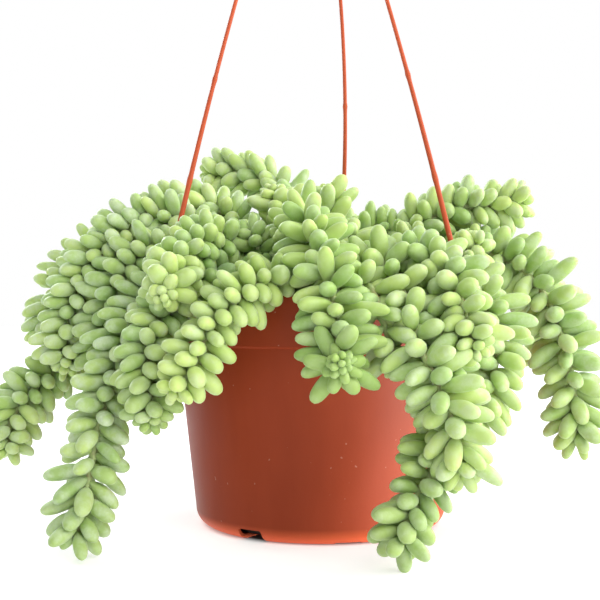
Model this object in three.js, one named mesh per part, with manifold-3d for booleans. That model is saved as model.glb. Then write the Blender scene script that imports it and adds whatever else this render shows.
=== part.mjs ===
// A burro's tail (Sedum morganianum) in a moulded plastic hanging pot, in millimetres.
// The origin is the middle of the pot's base, on the surface that the pot stands on.
// +Z is up, -Y is the front and +X is the right.
// The shoots are plain studded tails here: each is the space that a stem and its leaves fill.
import * as THREE from "three";
import { mergeVertices } from "three/addons/utils/BufferGeometryUtils.js";
import Module from "manifold-3d";

const wasm = await Module();
wasm.setup();

// Driving dimensions

const GAP = 0.3; // between pieces that touch

const POT_HEIGHT = 116;
const BASE_RADIUS = 55.5; // the flat that the pot stands on
const FOOT_CORNER = 8.5; // radius of the rounded corner around the base
const BAND_HEIGHT = 92; // where the rim band steps out of the wall
const WALL_TOP_RADIUS = 73.5; // outside the wall, just under the band
const RIM_RADIUS = 75.2;
const RIM_ROUND = 0.7; // easing of the rim's edges
const WALL = 1.6;
const FLOOR = 2;
const POT_SIDES = 48;

const NOTCHES = 8; // drainage notches around the foot
const NOTCH_FIRST = 33; // degrees clockwise from the back
const NOTCH_WIDTH = 13;
const NOTCH_HEIGHTS = [6, 1.2]; // tall and shallow in turn
const NOTCH_INNER_RADIUS = 47;

const LUG_RADIUS = 84; // from the pot's axis to a lug's hole
const LUG_FIRST = 7; // degrees clockwise from the back; the others are at thirds of a turn
const LUG_HALF_WIDTH = 5.5;
const LUG_TOP = 112;
const LUG_THICKNESS = 3;
const LUG_HOLE = 1.7;
const WEB_THICKNESS = 2; // of the rib under each lug
const WEB_HEIGHT = 10;
const OVERLAP = 1; // how far one solid reaches into another that it joins or cuts

const SOIL_TOP = 104;
const SOIL_SHOULDER = 4; // drop of the soil's edge below its top
const ROOT_RADIUS = 1.6;
const ROOT_DEPTH = 7;
const SOCKET_RADIUS = 2.1;

const STRAND_RADIUS = 1.2;
const STRAND_BOW = 4; // how far each strand bows outwards at its middle
const STRANDS = [
  { name: "strand_back", angle: LUG_FIRST, sideways: 11 },
  { name: "strand_right", angle: LUG_FIRST + 120, sideways: 0 },
  { name: "strand_left", angle: LUG_FIRST + 240, sideways: 0 },
]; // sideways is how far the strand's middle leans clockwise
const STRAND_STRAIGHT = 3; // length that stands straight above its lug and under the hub
const STRAND_STEPS = 12;
const STRAND_SIDES = 8;
const STRAND_POINTS = 150; // along a strand, to measure how near a shoot comes
const KNOB_RADIUS = 3; // the end that holds a strand under its lug
const KNOB_HEIGHT = 5;
const KNOB_EDGE = 1; // chamfer under the knob

const HUB = { x: -5, y: 6, bottom: 390, top: 402, radius: 6.5 };
const HUB_SIDES = 16;
const HUB_EDGE = 1; // chamfer around the hub's bottom
const HUB_SHOULDER = 6; // height at which the hub starts to taper to the hook
const HUB_SPREAD = 4; // from the hub's axis to each strand's end
const HUB_SOCKET_DEPTH = 5;
const HOOK_WIRE = 2;
const HOOK_RADIUS = 11; // of the bend's centre line
const HOOK_NECK = 10; // straight wire between the hub and the bend
const HOOK_STEPS = 15;
const HOOK_SWEEP = 220; // degrees that the bend turns through

const SHOOT_SIDES = 8;
const RING_STEP = 8.5; // along a shoot
const LINE_POINTS = 4; // points on the stem's line from one ring to the next
const STUD = 0.16; // how far the studs between leaves dip, as a share of the radius
const FLOOR_CLEARANCE = 0.4; // under a shoot's lowest point
const SHARE_GAP = 0.4; // from a shoot to the middle of the gap between it and its neighbour

// Each shoot's stem, from its root in the soil: where it is rooted (x, y), the greatest radius
// of its leaves' mass, and the points that its stem passes through above the soil.
const SHOOTS = [
  {
    name: "shoot_front_centre",
    root: [-8, -16],
    girth: 12,
    path: [[-9, -26, 130], [-8, -45, 151], [-3, -68, 138], [1, -84, 124], [5, -95, 110],
      [6, -101, 96], [6, -108, 88], [6, -118, 89]],
  },
  {
    name: "shoot_front_left",
    root: [-14, -40],
    girth: 11,
    path: [[-15, -50, 119], [-18, -62, 124], [-28, -77, 122], [-38, -88, 114], [-47, -95, 105],
      [-52, -100, 95], [-57, -104, 84], [-64, -106, 75]],
  },
  {
    name: "shoot_left_front",
    root: [-40, -34],
    girth: 11,
    path: [[-46, -42, 124], [-55, -56, 123], [-69, -70, 110], [-77, -78, 98], [-78, -84, 85],
      [-76, -88, 72], [-76, -90, 60]],
  },
  {
    name: "shoot_left_rosette",
    root: [-28, -12],
    girth: 11,
    path: [[-32, -20, 130], [-48, -38, 143], [-58, -52, 142], [-65, -66, 133], [-68, -80, 123],
      [-70, -92, 115]],
  },
  {
    name: "shoot_left_arch",
    root: [-44, -4],
    girth: 14,
    path: [[-52, -5, 132], [-70, -6, 154], [-87, -8, 155], [-104, -15, 145], [-116, -22, 130],
      [-123, -28, 112], [-125, -32, 94], [-124, -35, 81]],
  },
  {
    name: "shoot_left_middle",
    root: [-56, -8],
    girth: 12,
    path: [[-66, -14, 130], [-80, -23, 139], [-93, -32, 132], [-101, -38, 116], [-105, -40, 98],
      [-106, -42, 84]],
  },
  {
    name: "shoot_left_outer",
    root: [-64, 3],
    girth: 13,
    path: [[-72, 6, 132], [-92, 12, 146], [-114, 16, 144], [-132, 14, 130], [-141, 10, 112],
      [-144, 6, 96]],
  },
  {
    name: "shoot_left_low",
    root: [-58, 14],
    girth: 11,
    path: [[-66, 14, 122], [-82, 12, 124], [-100, 8, 113], [-116, 2, 97], [-129, -8, 82],
      [-142, -16, 71], [-150, -22, 62], [-154, -27, 52], [-154, -30, 40]],
  },
  {
    name: "shoot_left_trailer",
    root: [-52, -22],
    girth: 13,
    path: [[-60, -28, 124], [-76, -38, 122], [-88, -50, 107], [-94, -58, 91], [-98, -66, 73],
      [-102, -73, 55], [-104, -78, 38], [-107, -82, 22], [-109, -86, 9]],
  },
  {
    name: "shoot_back_left_top",
    root: [-14, 32],
    girth: 11,
    path: [[-14, 38, 140], [-17, 46, 172], [-32, 55, 182], [-47, 62, 187], [-64, 66, 184]],
  },
  {
    name: "shoot_left_top",
    root: [-30, 14],
    girth: 12,
    path: [[-34, 15, 134], [-45, 13, 155], [-61, 14, 163], [-76, 16, 163], [-91, 18, 159]],
  },
  {
    name: "shoot_crown_left",
    root: [-10, 4],
    girth: 10,
    path: [[-12, 4, 132], [-19, 0, 158], [-24, 2, 172]],
  },
  {
    name: "shoot_crown_right",
    root: [6, -2],
    girth: 10,
    path: [[5, -2, 132], [2, -6, 154], [1, -3, 170]],
  },
  {
    name: "shoot_right_back_arch",
    root: [18, 10],
    girth: 11,
    path: [[19, 10, 130], [23, 12, 147], [42, 20, 151], [61, 36, 147], [75, 52, 136],
      [82, 62, 112], [84, 68, 84], [84, 70, 56]],
  },
  {
    name: "shoot_right_rosette",
    root: [28, -28],
    girth: 11,
    path: [[34, -34, 128], [43, -44, 135], [53, -58, 132], [58, -72, 123], [61, -84, 112],
      [63, -92, 101], [66, -98, 93]],
  },
  {
    name: "shoot_front_right",
    root: [20, -36],
    girth: 12,
    path: [[22, -42, 122], [27, -54, 130], [34, -69, 122], [38, -82, 110], [40, -92, 98],
      [43, -98, 89], [47, -102, 80], [51, -105, 70], [55, -107, 57], [57, -108, 42]],
  },
  {
    name: "shoot_front_right_low",
    root: [40, -26],
    girth: 12,
    path: [[46, -38, 122], [51, -58, 124], [52, -74, 108], [53, -82, 92], [54, -86, 75],
      [53, -88, 59], [49, -91, 47], [42, -96, 34], [36, -102, 23], [31, -107, 12]],
  },
  {
    name: "shoot_right_trailer",
    root: [50, -8],
    girth: 11,
    path: [[60, -18, 124], [73, -30, 123], [82, -42, 107], [83, -50, 93], [80, -56, 80],
      [74, -62, 68], [66, -66, 57]],
  },
  {
    name: "shoot_right_top",
    root: [30, 16],
    girth: 12,
    path: [[40, 14, 138], [59, 10, 157], [75, 10, 163], [90, 10, 164], [106, 10, 166]],
  },
  {
    name: "shoot_right_arch",
    root: [56, 8],
    girth: 13,
    path: [[68, 8, 130], [84, 4, 138], [100, 0, 133], [113, -5, 120], [120, -8, 104],
      [126, -10, 85], [129, -12, 64], [130, -12, 44]],
  },
  {
    name: "shoot_right_small",
    root: [44, -6],
    girth: 9,
    path: [[53, -10, 127], [70, -16, 133], [79, -24, 142]],
  },
  {
    name: "shoot_right_back",
    root: [48, 30],
    girth: 12,
    path: [[60, 35, 132], [82, 38, 141], [102, 42, 141], [117, 47, 131], [125, 51, 115],
      [128, 52, 98], [128, 52, 80]],
  },
  {
    name: "shoot_front_rim",
    root: [6, -46],
    girth: 9,
    path: [[11, -57, 120], [21, -74, 120], [25, -85, 107], [29, -88, 95], [32, -90, 83]],
  },
  {
    name: "shoot_inner_left",
    root: [-20, -20],
    girth: 9,
    path: [[-26, -27, 126], [-35, -34, 148]],
  },
  {
    name: "shoot_crown_front",
    root: [8, -22],
    girth: 9,
    path: [[11, -26, 128], [16, -28, 148]],
  },
  {
    name: "shoot_crown_back",
    root: [-8, 20],
    girth: 10,
    path: [[-7, 20, 130], [-4, 18, 156]],
  },
  {
    name: "shoot_inner_right",
    root: [38, 2],
    girth: 9,
    path: [[42, 0, 128], [50, -2, 146]],
  },
  {
    name: "shoot_back_centre",
    root: [-4, 48],
    girth: 12,
    path: [[-8, 62, 136], [-12, 82, 134], [-15, 99, 110], [-16, 106, 78], [-16, 108, 46]],
  },
  {
    name: "shoot_back_left_trailer",
    root: [-30, 40],
    girth: 13,
    path: [[-36, 52, 136], [-45, 70, 134], [-52, 86, 110], [-55, 93, 80], [-56, 97, 50],
      [-57, 99, 22]],
  },
  {
    name: "shoot_left_back",
    root: [-52, 30],
    girth: 12,
    path: [[-64, 36, 132], [-86, 46, 132], [-103, 54, 110], [-110, 58, 80], [-113, 60, 52]],
  },
  {
    name: "shoot_back_right_trailer",
    root: [28, 42],
    girth: 13,
    path: [[38, 56, 134], [50, 74, 130], [60, 90, 106], [65, 97, 72], [67, 100, 40],
      [68, 101, 16]],
  },
  {
    name: "shoot_back_top",
    root: [6, 26],
    girth: 11,
    path: [[7, 30, 134], [12, 40, 148], [24, 55, 152], [36, 72, 146]],
  },
];

// A point at a compass angle, in degrees clockwise from the back as seen from above
function compass(degrees, radius, height) {
  const angle = THREE.MathUtils.degToRad(degrees);
  return new THREE.Vector3(radius * Math.sin(angle), radius * Math.cos(angle), height);
}

// Solids

// The same surface with shared vertices merged and collapsed triangles left out
function weld(geometry) {
  const bare = geometry.clone();
  bare.deleteAttribute("normal");
  bare.deleteAttribute("uv");
  const merged = mergeVertices(bare, 1e-4);
  const index = merged.index.array;
  const kept = [];
  for (let i = 0; i < index.length; i += 3) {
    const [a, b, c] = [index[i], index[i + 1], index[i + 2]];
    if (a !== b && b !== c && c !== a) {
      kept.push(a, b, c);
    }
  }
  merged.setIndex(kept);
  return merged;
}

function toSolid(geometry) {
  const welded = weld(geometry);
  const mesh = new wasm.Mesh({
    numProp: 3,
    vertProperties: new Float32Array(welded.attributes.position.array),
    triVerts: new Uint32Array(welded.index.array),
  });
  return new wasm.Manifold(mesh);
}

function toGeometry(solid) {
  const mesh = solid.getMesh();
  const geometry = new THREE.BufferGeometry();
  geometry.setAttribute("position", new THREE.BufferAttribute(mesh.vertProperties, 3));
  geometry.setIndex(new THREE.BufferAttribute(mesh.triVerts, 1));
  return geometry;
}

// A body of revolution about Z from [radius, height] points, up the outside and down the inside
function turned(outline, sides) {
  const geometry = new THREE.LatheGeometry(outline, sides);
  return geometry.rotateX(Math.PI / 2);
}

// A closed tube through rings of {centre, radii}, where radii has one number for each side
function loft(rings, sides) {
  const positions = [];
  const across = new THREE.Vector3(1, 0, 0);
  let along = rings[1].centre.clone().sub(rings[0].centre).normalize();
  across.addScaledVector(along, -across.dot(along)).normalize();
  rings.forEach(({ centre, radii }, i) => {
    const before = rings[Math.max(i - 1, 0)].centre;
    const after = rings[Math.min(i + 1, rings.length - 1)].centre;
    const direction = after.clone().sub(before).normalize();
    across.applyQuaternion(new THREE.Quaternion().setFromUnitVectors(along, direction));
    along = direction;
    const aside = along.clone().cross(across);
    for (let j = 0; j < sides; j++) {
      const angle = (2 * Math.PI * j) / sides;
      const vertex = centre.clone();
      vertex.addScaledVector(across, radii[j] * Math.cos(angle));
      vertex.addScaledVector(aside, radii[j] * Math.sin(angle));
      positions.push(...vertex);
    }
  });
  const start = positions.length / 3;
  const end = start + 1;
  positions.push(...rings[0].centre, ...rings[rings.length - 1].centre);
  const faces = [];
  for (let j = 0; j < sides; j++) {
    const next = (j + 1) % sides;
    const last = (rings.length - 1) * sides;
    faces.push(start, next, j, end, last + j, last + next);
    for (let row = 0; row < last; row += sides) {
      faces.push(row + j, row + next, row + sides + next);
      faces.push(row + j, row + sides + next, row + sides + j);
    }
  }
  const geometry = new THREE.BufferGeometry();
  geometry.setAttribute("position", new THREE.Float32BufferAttribute(positions, 3));
  geometry.setIndex(faces);
  return geometry;
}

function ring(centre, radius, sides) {
  return { centre, radii: new Array(sides).fill(radius) };
}

// Pot

// Points of a quarter turn from straight down to straight out, about (x, y)
function footArc(x, y, radius, steps) {
  const points = [];
  for (let i = 0; i <= steps; i++) {
    const angle = (Math.PI / 2) * (i / steps);
    points.push([x + radius * Math.sin(angle), y - radius * Math.cos(angle)]);
  }
  return points;
}

const POT_OUTSIDE = [
  [0, 0],
  ...footArc(BASE_RADIUS, FOOT_CORNER, FOOT_CORNER, 5),
  [WALL_TOP_RADIUS, BAND_HEIGHT],
  [RIM_RADIUS, BAND_HEIGHT + RIM_ROUND],
  [RIM_RADIUS, POT_HEIGHT - RIM_ROUND],
  [RIM_RADIUS - RIM_ROUND, POT_HEIGHT],
];

// The cavity's outline from the axis outwards, taken in by a clearance
function cavity(clearance) {
  const inset = WALL + clearance;
  const shoulder = BAND_HEIGHT + 2 * WALL;
  return [
    [0, FLOOR + clearance],
    ...footArc(BASE_RADIUS, FOOT_CORNER, FOOT_CORNER - inset, 4).map(([x, y]) => [
      x,
      Math.max(y, FLOOR + clearance),
    ]),
    [WALL_TOP_RADIUS - inset, BAND_HEIGHT],
    [RIM_RADIUS - inset, shoulder],
  ];
}

function outlinePoints(pairs) {
  return pairs.map(([x, y]) => new THREE.Vector2(x, y));
}

function lugGeometry() {
  const reach = LUG_RADIUS - RIM_RADIUS + WALL / 2;
  const plate = new THREE.Shape();
  plate.moveTo(-LUG_HALF_WIDTH, -reach);
  plate.lineTo(LUG_HALF_WIDTH, -reach);
  plate.absarc(0, 0, LUG_HALF_WIDTH, 0, Math.PI, false);
  plate.holes.push(new THREE.Path().absarc(0, 0, LUG_HOLE + GAP / 2, 0, 2 * Math.PI, true));
  const geometry = new THREE.ExtrudeGeometry(plate, {
    depth: LUG_THICKNESS,
    bevelEnabled: false,
    curveSegments: 8,
  });
  return geometry.translate(0, LUG_RADIUS, LUG_TOP - LUG_THICKNESS);
}

function webGeometry() {
  const start = RIM_RADIUS - WALL / 2;
  const stop = LUG_RADIUS - KNOB_RADIUS - GAP;
  const top = LUG_TOP - LUG_THICKNESS;
  const rib = new THREE.Shape();
  rib.moveTo(start, top + OVERLAP);
  rib.lineTo(start, top - WEB_HEIGHT);
  rib.lineTo(stop, top - OVERLAP);
  rib.lineTo(stop, top + OVERLAP);
  const geometry = new THREE.ExtrudeGeometry(rib, { depth: WEB_THICKNESS, bevelEnabled: false });
  geometry.translate(0, 0, -WEB_THICKNESS / 2);
  geometry.rotateX(Math.PI / 2);
  return geometry.rotateZ(Math.PI / 2);
}

function potGeometry() {
  const inside = cavity(0).reverse();
  const brim = [RIM_RADIUS - WALL, POT_HEIGHT];
  let pot = toSolid(turned(outlinePoints([...POT_OUTSIDE, brim, ...inside]), POT_SIDES));
  for (const { angle } of STRANDS) {
    const turn = -THREE.MathUtils.degToRad(angle);
    pot = pot.add(toSolid(lugGeometry().rotateZ(turn)));
    pot = pot.add(toSolid(webGeometry().rotateZ(turn)));
  }
  const outer = BASE_RADIUS + 2 * FOOT_CORNER;
  const depth = outer - NOTCH_INNER_RADIUS;
  for (let i = 0; i < NOTCHES; i++) {
    const height = NOTCH_HEIGHTS[i % NOTCH_HEIGHTS.length];
    const notch = new THREE.BoxGeometry(NOTCH_WIDTH, depth, 2 * height);
    notch.translate(0, NOTCH_INNER_RADIUS + depth / 2, 0);
    notch.rotateZ(-THREE.MathUtils.degToRad(NOTCH_FIRST + (360 * i) / NOTCHES));
    pot = pot.subtract(toSolid(notch));
  }
  return toGeometry(pot);
}

// Soil, with a socket for each shoot's root

function soilGeometry() {
  const edge = RIM_RADIUS - WALL - GAP;
  const outline = [
    ...cavity(GAP),
    [edge, SOIL_TOP - SOIL_SHOULDER],
    [edge - SOIL_SHOULDER, SOIL_TOP],
    [0, SOIL_TOP],
  ];
  let soil = toSolid(turned(outlinePoints(outline), POT_SIDES));
  const top = SOIL_TOP + OVERLAP;
  const height = ROOT_DEPTH + GAP + OVERLAP;
  for (const shoot of SHOOTS) {
    const socket = new THREE.CylinderGeometry(SOCKET_RADIUS, SOCKET_RADIUS, height, SHOOT_SIDES);
    socket.rotateX(Math.PI / 2);
    socket.translate(...shoot.root, top - height / 2);
    soil = soil.subtract(toSolid(socket));
  }
  return toGeometry(soil);
}

// Hanger

// A strand's centre line from just above its lug to just under the hub, bowed outwards
function strandCurve({ angle, sideways }) {
  const lug = compass(angle, LUG_RADIUS, LUG_TOP + STRAND_STRAIGHT);
  const hub = compass(angle, HUB_SPREAD, HUB.bottom - STRAND_STRAIGHT);
  hub.add(new THREE.Vector3(HUB.x, HUB.y, 0));
  const middle = lug.clone().lerp(hub, 0.5).add(compass(angle, 2 * STRAND_BOW, 0));
  middle.add(compass(angle + 90, 2 * sideways, 0));
  return new THREE.QuadraticBezierCurve3(lug, middle, hub);
}

// A strand stands straight in its lug's hole and in its socket in the hub, with a knob below
function strandGeometry(strand) {
  const knobTop = LUG_TOP - LUG_THICKNESS - GAP;
  const inLug = (height, radius) => {
    return ring(compass(strand.angle, LUG_RADIUS, height), radius, STRAND_SIDES);
  };
  const rings = [
    inLug(knobTop - KNOB_HEIGHT, KNOB_RADIUS / 2),
    inLug(knobTop - KNOB_HEIGHT + KNOB_EDGE, KNOB_RADIUS),
    inLug(knobTop - GAP, KNOB_RADIUS),
    inLug(knobTop, STRAND_RADIUS),
    inLug(LUG_TOP, STRAND_RADIUS),
  ];
  const centres = strandCurve(strand).getSpacedPoints(STRAND_STEPS);
  centres.push(centres[STRAND_STEPS].clone().setZ(HUB.bottom));
  centres.push(centres[STRAND_STEPS].clone().setZ(HUB.bottom + HUB_SOCKET_DEPTH - GAP));
  centres.forEach((centre) => rings.push(ring(centre, STRAND_RADIUS, STRAND_SIDES)));
  return loft(rings, STRAND_SIDES);
}

function hookGeometry() {
  const neck = new THREE.Vector3(HUB.x, HUB.y, HUB.top + HOOK_NECK);
  const root = neck.clone().setZ(HUB.top - HOOK_WIRE);
  const rings = [root, neck].map((point) => ring(point, HOOK_WIRE, STRAND_SIDES));
  const centre = neck.clone().add(new THREE.Vector3(HOOK_RADIUS, 0, 0));
  for (let i = 1; i <= HOOK_STEPS; i++) {
    const turn = THREE.MathUtils.degToRad(180 - (HOOK_SWEEP * i) / HOOK_STEPS);
    const offset = new THREE.Vector3(Math.cos(turn), 0, Math.sin(turn));
    const point = centre.clone().addScaledVector(offset, HOOK_RADIUS);
    rings.push(ring(point, HOOK_WIRE, STRAND_SIDES));
  }
  const hub = turned(
    outlinePoints([
      [0, HUB.bottom],
      [HUB.radius - HUB_EDGE, HUB.bottom],
      [HUB.radius, HUB.bottom + HUB_EDGE],
      [HUB.radius, HUB.bottom + HUB_SHOULDER],
      [HOOK_WIRE + HUB_EDGE, HUB.top],
      [0, HUB.top],
    ]),
    HUB_SIDES,
  );
  let solid = toSolid(hub.translate(HUB.x, HUB.y, 0)).add(toSolid(loft(rings, STRAND_SIDES)));
  for (const { angle } of STRANDS) {
    const end = compass(angle, HUB_SPREAD, HUB.bottom);
    const socket = new THREE.CylinderGeometry(LUG_HOLE, LUG_HOLE, 2 * HUB_SOCKET_DEPTH, 12);
    socket.rotateX(Math.PI / 2);
    socket.translate(HUB.x + end.x, HUB.y + end.y, end.z);
    solid = solid.subtract(toSolid(socket));
  }
  return toGeometry(solid);
}

// Shoots

function stemCurve(shoot) {
  const points = [[...shoot.root, SOIL_TOP + 2], ...shoot.path];
  const vectors = points.map((point) => new THREE.Vector3(...point));
  return new THREE.CatmullRomCurve3(vectors, false, "centripetal");
}

// The radius that the leaves would fill if nothing were near: a bare stem out of the soil,
// the full girth along the shoot, and a rounded tip
function leafyRadius(shoot, distance) {
  const grown = THREE.MathUtils.smoothstep(distance, 0, 3 * shoot.girth);
  const toTip = THREE.MathUtils.clamp((shoot.length - distance) / shoot.girth, 0, 1);
  const dome = Math.sqrt(1 - (1 - toTip) ** 2);
  return Math.max(shoot.girth * grown * dome, ROOT_RADIUS);
}

for (const shoot of SHOOTS) {
  const curve = stemCurve(shoot);
  shoot.length = curve.getLength();
  shoot.rings = Math.round(shoot.length / RING_STEP);
  shoot.centres = curve.getSpacedPoints(shoot.rings);
  const steps = shoot.rings * LINE_POINTS;
  shoot.line = curve.getSpacedPoints(steps).map((point, i) => {
    return { point, wanted: leafyRadius(shoot, (shoot.length * i) / steps) };
  });
}

// Points 2 mm apart on the outside of the pot and on the soil, as [radius, height]
function potSurface() {
  const outline = outlinePoints([
    ...POT_OUTSIDE,
    [RIM_RADIUS - WALL, POT_HEIGHT],
    [RIM_RADIUS - WALL, SOIL_TOP],
    [0, SOIL_TOP],
  ]);
  const points = [];
  for (let i = 1; i < outline.length; i++) {
    const steps = Math.ceil(outline[i].distanceTo(outline[i - 1]) / 2);
    for (let j = 0; j < steps; j++) {
      points.push(outline[i - 1].clone().lerp(outline[i], j / steps));
    }
  }
  return points;
}

const POT_SURFACE = potSurface();
const STRAND_LINES = STRANDS.map((strand) => strandCurve(strand).getSpacedPoints(STRAND_POINTS));
const LUG_MIDDLES = STRANDS.map(({ angle }) => compass(angle, LUG_RADIUS - 2, LUG_TOP - 4));
const LUG_REACH = 9; // a ball of this radius about a lug's middle holds the lug and its knob

function nearest(point, others) {
  return Math.min(...others.map((other) => point.distanceTo(other)));
}

// The most that a shoot can fill about a point of its line. Two shoots share the distance
// between their stems in the ratio of what each would fill.
function freeRadius(shoot, { point, wanted }) {
  const shares = SHOOTS.filter((other) => other !== shoot).map((other) => {
    return Math.min(
      ...other.line.map((spot) => {
        return (point.distanceTo(spot.point) * wanted) / (wanted + spot.wanted);
      }),
    );
  });
  const inPlane = new THREE.Vector2(Math.hypot(point.x, point.y), point.z);
  return Math.min(
    Math.min(...shares) - SHARE_GAP,
    ...STRAND_LINES.map((line) => nearest(point, line) - STRAND_RADIUS - GAP),
    nearest(point, LUG_MIDDLES) - LUG_REACH,
    nearest(inPlane, POT_SURFACE) - GAP,
    point.z - FLOOR_CLEARANCE,
  );
}

// The radius of each ring, clear of everything as far as the next ring on either side
function ringRadii(shoot) {
  const free = shoot.line.map((spot) => freeRadius(shoot, spot));
  return shoot.centres.map((_, i) => {
    const near = free.slice(Math.max(i - 1, 0) * LINE_POINTS, (i + 1) * LINE_POINTS + 1);
    return Math.min(leafyRadius(shoot, (shoot.length * i) / shoot.rings), ...near);
  });
}

function shootGeometry(shoot) {
  const foot = new THREE.Vector3(...shoot.root, SOIL_TOP - ROOT_DEPTH);
  const collar = new THREE.Vector3(...shoot.root, SOIL_TOP);
  const rings = [foot, collar].map((centre) => ring(centre, ROOT_RADIUS, SHOOT_SIDES));
  ringRadii(shoot).forEach((radius, i) => {
    const studded = radius > 2 * ROOT_RADIUS;
    const radii = Array.from({ length: SHOOT_SIDES }, (_, side) => {
      const dips = studded && (i + side) % 2 === 0;
      return dips ? radius * (1 - STUD) : radius;
    });
    rings.push({ centre: shoot.centres[i], radii });
  });
  return loft(rings, SHOOT_SIDES);
}

// Materials

function plastic() {
  return new THREE.MeshStandardMaterial({ color: 0xa5482e, roughness: 0.42, metalness: 0 });
}

function strandPlastic() {
  return new THREE.MeshStandardMaterial({ color: 0xb5482a, roughness: 0.38, metalness: 0 });
}

function peat() {
  return new THREE.MeshStandardMaterial({ color: 0x2c2018, roughness: 0.95, metalness: 0 });
}

function leaf() {
  return new THREE.MeshStandardMaterial({ color: 0x9dbd6f, roughness: 0.6, metalness: 0 });
}

// Assembly

function piece(name, geometry, material) {
  const mesh = new THREE.Mesh(geometry, material);
  mesh.name = name;
  return mesh;
}

const plant = new THREE.Group();
plant.add(piece("pot", potGeometry(), plastic()));
plant.add(piece("soil", soilGeometry(), peat()));

const hanger = new THREE.Group();
for (const strand of STRANDS) {
  hanger.add(piece(strand.name, strandGeometry(strand), strandPlastic()));
}
hanger.add(piece("hook", hookGeometry(), strandPlastic()));

const shoots = new THREE.Group();
for (const shoot of SHOOTS) {
  shoots.add(piece(shoot.name, shootGeometry(shoot), leaf()));
}

const pottedPlant = new THREE.Group();
pottedPlant.add(plant, hanger, shoots);

export default pottedPlant;
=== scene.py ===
"""The looks of a burro's tail in a hanging nursery pot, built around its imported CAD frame.

Sizes are in millimetres until a mesh is made, and objects are in metres. The origin is the
middle of the pot's base, +Z is up, -Y is the front and +X is the right.
"""

import math

import bmesh
import bpy
import numpy as np
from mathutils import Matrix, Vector, kdtree, noise


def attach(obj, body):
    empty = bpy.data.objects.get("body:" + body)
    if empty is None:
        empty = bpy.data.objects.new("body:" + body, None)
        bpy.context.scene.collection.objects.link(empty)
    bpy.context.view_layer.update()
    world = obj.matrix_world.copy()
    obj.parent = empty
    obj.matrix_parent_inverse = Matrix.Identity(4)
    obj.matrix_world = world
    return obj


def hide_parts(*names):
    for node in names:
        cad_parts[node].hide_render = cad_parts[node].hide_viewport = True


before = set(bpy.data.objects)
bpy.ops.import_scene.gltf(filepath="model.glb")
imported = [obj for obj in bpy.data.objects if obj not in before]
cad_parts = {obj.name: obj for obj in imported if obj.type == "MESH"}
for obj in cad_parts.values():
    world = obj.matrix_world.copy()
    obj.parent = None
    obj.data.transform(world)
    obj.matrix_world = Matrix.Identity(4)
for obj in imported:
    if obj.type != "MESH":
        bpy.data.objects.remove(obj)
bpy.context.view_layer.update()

MM = 0.001  # metres in a millimetre

# Driving dimensions, the same as the CAD part's

POT_HEIGHT = 116
BASE_RADIUS = 55.5  # the flat that the pot stands on
FOOT_CORNER = 8.5
BAND_HEIGHT = 92  # where the rim band steps out of the wall
WALL_TOP_RADIUS = 73.5
RIM_RADIUS = 75.2
WALL = 1.6
FLOOR = 2
GAP = 0.3  # between pieces that touch

NOTCHES = 8
NOTCH_FIRST = 33  # degrees clockwise from the back, as every angle here
NOTCH_WIDTH = 13
NOTCH_HEIGHTS = (6, 1.2)  # tall and shallow in turn
NOTCH_INNER_RADIUS = 47

LUG_RADIUS = 84
LUG_FIRST = 7
LUG_HALF_WIDTH = 5.5
LUG_TOP = 112
LUG_THICKNESS = 3
WEB_THICKNESS = 2
WEB_HEIGHT = 10

SOIL_TOP = 104
SOIL_SHOULDER = 4
ROOT_DEPTH = 7

STRAND_RADIUS = 1.2
STRAND_SWELL = 0.35  # how much thicker it is at the lug than at the hub
STRAND_SWELL_HEIGHT = 150
STRAND_BOW = 4
STRAND_STRAIGHT = 3  # length that is upright above the lug and under the hub
STRANDS = {
    "strand_back": (LUG_FIRST, 11),
    "strand_right": (LUG_FIRST + 120, 0),
    "strand_left": (LUG_FIRST + 240, 0),
}  # each strand's angle, and how far its middle leans clockwise
KNOB_RADIUS = 3
KNOB_HEIGHT = 5
HUB_X, HUB_Y = -5, 6
HUB_BOTTOM, HUB_TOP = 390, 402
HUB_RADIUS = 6.5
HUB_SPREAD = 4
HUB_SOCKET_DEPTH = 5
HOOK_WIRE = 2
HOOK_RADIUS = 11
HOOK_NECK = 10
HOOK_SWEEP = 220

# How a shoot grows, where its own row doesn't say otherwise
GROWTH = dict(
    bud=0.6,  # size of the leaf at the very tip, as a share of a grown one
    opening=34,  # length of stem below a tip over which leaves open out
    young=7,  # length of stem below a tip where leaves are still growing
    tight=0.7,  # length of stem at a tip whose leaves are all as small as the bud
    bare=(0, 0),  # stretch of stem, from the soil up, where leaves are sparse
    bloom=0.45,  # how powdery the leaves are, from 0 to 1
    deep=0.6,  # how much deeper green is painted in at the soil, partly older leaves' own colour and partly painted shade, from 0 to 1
    dark=0,  # how much painted shade deepens their green at the tip
    light=0,  # how light the darkest of them is, from 0 to 1
)


def shoot(root, leaf, spread, density, path, **own):
    """A shoot: its root in the soil, its leaves' mean length and width, their angle off the stem
    in degrees, how many grow on a millimetre of stem, the stem's path, and what is its own."""
    return dict(GROWTH, root=root, leaf=leaf, spread=spread, density=density, path=path, **own)


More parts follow.
